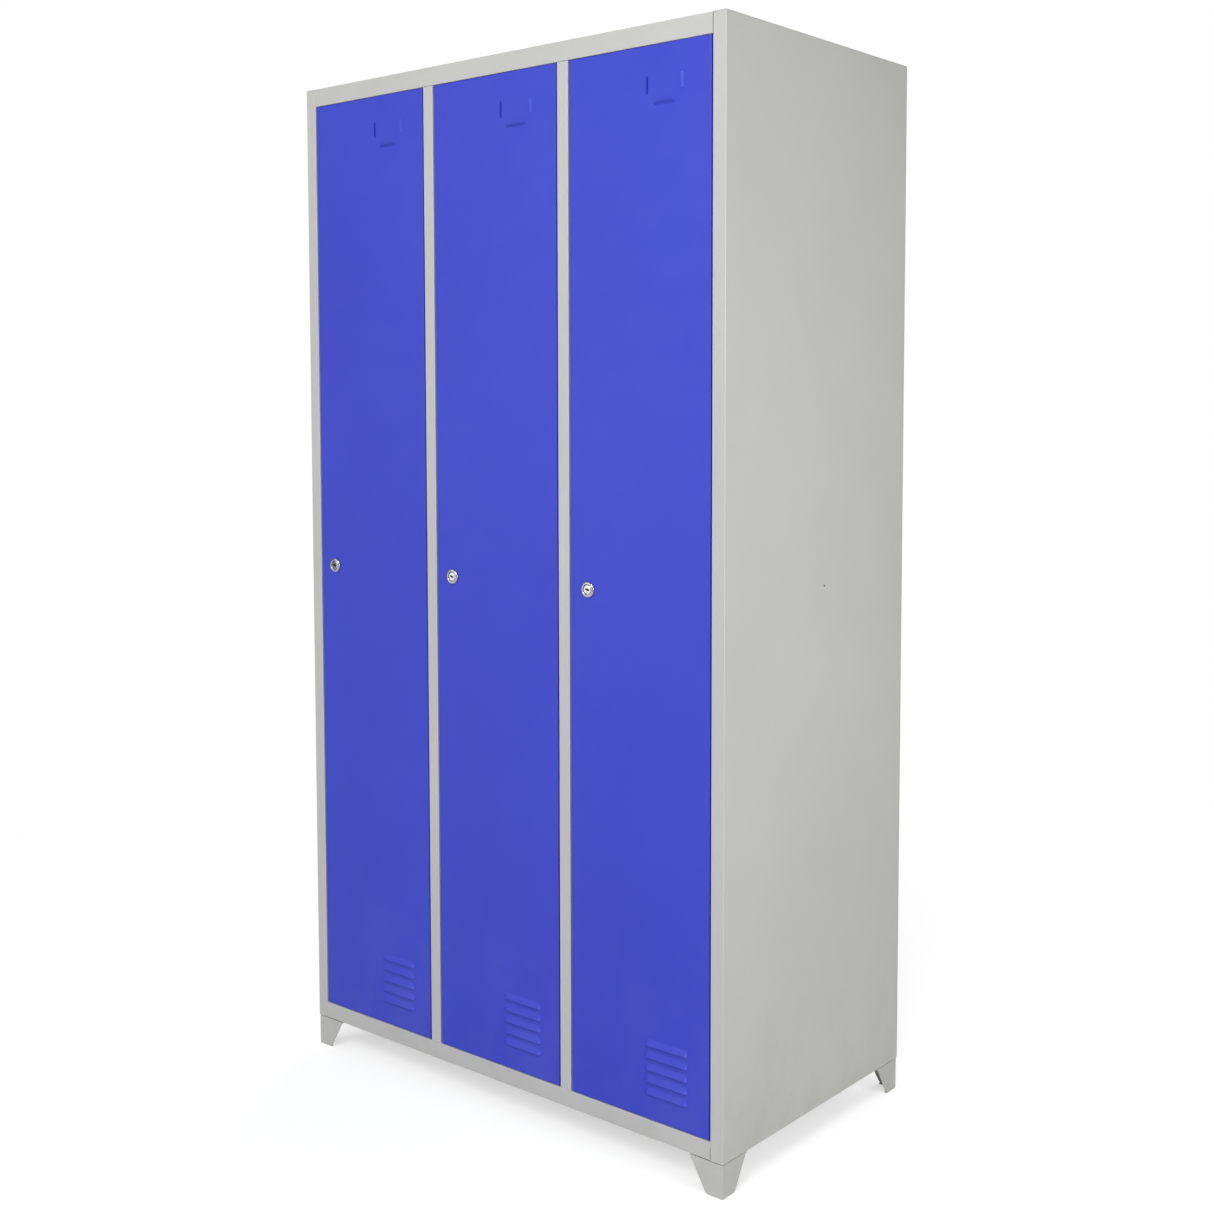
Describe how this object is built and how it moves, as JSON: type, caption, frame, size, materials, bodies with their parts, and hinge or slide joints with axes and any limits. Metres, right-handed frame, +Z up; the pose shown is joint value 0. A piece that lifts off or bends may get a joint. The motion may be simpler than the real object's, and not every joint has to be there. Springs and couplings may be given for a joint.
{
  "type": "clothes locker",
  "caption": "Tall steel clothes locker with side-hinged inset doors, cam locks, hat shelves, coat rails with sliding hooks, and pressed corner feet.",
  "frame": {"origin": "on the floor under the middle of the carcass", "axes": "+X to the right and +Y to the back as seen from the front, +Z up; the doors face -Y"},
  "size_m": [0.9, 0.5046, 1.7],
  "materials": {
    "grey_paint": "low-sheen powder coat",
    "blue_paint": "low-sheen powder coat",
    "chrome": "bright chrome plate",
    "zinc_plate": "bright zinc plate",
    "black_plastic": "moulded, fine texture",
    "rubber": "matt black rubber"
  },
  "bodies": {
    "cabinet": {"side_panel_left": "grey_paint", "side_panel_right": "grey_paint", "roof_panel": "grey_paint", "floor_panel": "grey_paint", "back_panel": "grey_paint", "partition_1": "grey_paint", "partition_2": "grey_paint", "foot_front_left": "grey_paint", "foot_front_right": "grey_paint", "foot_rear_left": "grey_paint", "foot_rear_right": "grey_paint", "foot_bolt_front_left": "zinc_plate", "foot_bolt_front_right": "zinc_plate", "foot_bolt_rear_left": "zinc_plate", "foot_bolt_rear_right": "zinc_plate", "hat_shelf_1": "grey_paint", "coat_rail_1": "zinc_plate", "hinge_pin_bottom_1": "zinc_plate", "hinge_pin_top_1": "zinc_plate", "door_buffer_lower_1": "rubber", "door_buffer_upper_1": "rubber", "hat_shelf_2": "grey_paint", "coat_rail_2": "zinc_plate", "hinge_pin_bottom_2": "zinc_plate", "hinge_pin_top_2": "zinc_plate", "door_buffer_lower_2": "rubber", "door_buffer_upper_2": "rubber", "hat_shelf_3": "grey_paint", "coat_rail_3": "zinc_plate", "hinge_pin_bottom_3": "zinc_plate", "hinge_pin_top_3": "zinc_plate", "door_buffer_lower_3": "rubber", "door_buffer_upper_3": "rubber"},
    "door_1": {"door_panel_1": "blue_paint", "door_stiffener_1": "blue_paint", "lock_body_1": "chrome", "lock_nut_1": "zinc_plate"},
    "lock_1": {"lock_plug_1": "chrome", "lock_cam_1": "zinc_plate", "cam_screw_1": "zinc_plate"},
    "door_2": {"door_panel_2": "blue_paint", "door_stiffener_2": "blue_paint", "lock_body_2": "chrome", "lock_nut_2": "zinc_plate"},
    "lock_2": {"lock_plug_2": "chrome", "lock_cam_2": "zinc_plate", "cam_screw_2": "zinc_plate"},
    "door_3": {"door_panel_3": "blue_paint", "door_stiffener_3": "blue_paint", "lock_body_3": "chrome", "lock_nut_3": "zinc_plate"},
    "lock_3": {"lock_plug_3": "chrome", "lock_cam_3": "zinc_plate", "cam_screw_3": "zinc_plate"},
    "coat_hook_1_left": {"coat_hook_1_left": "black_plastic"},
    "coat_hook_1_right": {"coat_hook_1_right": "black_plastic"},
    "coat_hook_2_left": {"coat_hook_2_left": "black_plastic"},
    "coat_hook_2_right": {"coat_hook_2_right": "black_plastic"},
    "coat_hook_3_left": {"coat_hook_3_left": "black_plastic"},
    "coat_hook_3_right": {"coat_hook_3_right": "black_plastic"}
  },
  "joints": [
    {"name": "door_1_hinge", "type": "hinge", "parent": "cabinet", "child": "door_1", "pos_m": [-0.1655, -0.2445, 0.866], "axis": [0, 0, 1], "range_deg": [0, 110]},
    {"name": "lock_1_turn", "type": "hinge", "parent": "door_1", "child": "lock_1", "pos_m": [-0.3885, -0.25, 0.874], "axis": [0, 1, 0], "range_deg": [0, 90]},
    {"name": "door_2_hinge", "type": "hinge", "parent": "cabinet", "child": "door_2", "pos_m": [0.1265, -0.2445, 0.866], "axis": [0, 0, 1], "range_deg": [0, 110]},
    {"name": "lock_2_turn", "type": "hinge", "parent": "door_2", "child": "lock_2", "pos_m": [-0.0965, -0.25, 0.874], "axis": [0, 1, 0], "range_deg": [0, 90]},
    {"name": "door_3_hinge", "type": "hinge", "parent": "cabinet", "child": "door_3", "pos_m": [0.4185, -0.2445, 0.866], "axis": [0, 0, 1], "range_deg": [0, 110]},
    {"name": "lock_3_turn", "type": "hinge", "parent": "door_3", "child": "lock_3", "pos_m": [0.1955, -0.25, 0.874], "axis": [0, 1, 0], "range_deg": [0, 90]},
    {"name": "coat_hook_1_left_slide", "type": "slide", "parent": "cabinet", "child": "coat_hook_1_left", "axis": [1, 0, 0], "range_m": [-0.065, 0.06]},
    {"name": "coat_hook_1_right_slide", "type": "slide", "parent": "cabinet", "child": "coat_hook_1_right", "axis": [1, 0, 0], "range_m": [-0.06, 0.065]},
    {"name": "coat_hook_2_left_slide", "type": "slide", "parent": "cabinet", "child": "coat_hook_2_left", "axis": [1, 0, 0], "range_m": [-0.065, 0.06]},
    {"name": "coat_hook_2_right_slide", "type": "slide", "parent": "cabinet", "child": "coat_hook_2_right", "axis": [1, 0, 0], "range_m": [-0.06, 0.065]},
    {"name": "coat_hook_3_left_slide", "type": "slide", "parent": "cabinet", "child": "coat_hook_3_left", "axis": [1, 0, 0], "range_m": [-0.065, 0.06]},
    {"name": "coat_hook_3_right_slide", "type": "slide", "parent": "cabinet", "child": "coat_hook_3_right", "axis": [1, 0, 0], "range_m": [-0.06, 0.065]}
  ]
}
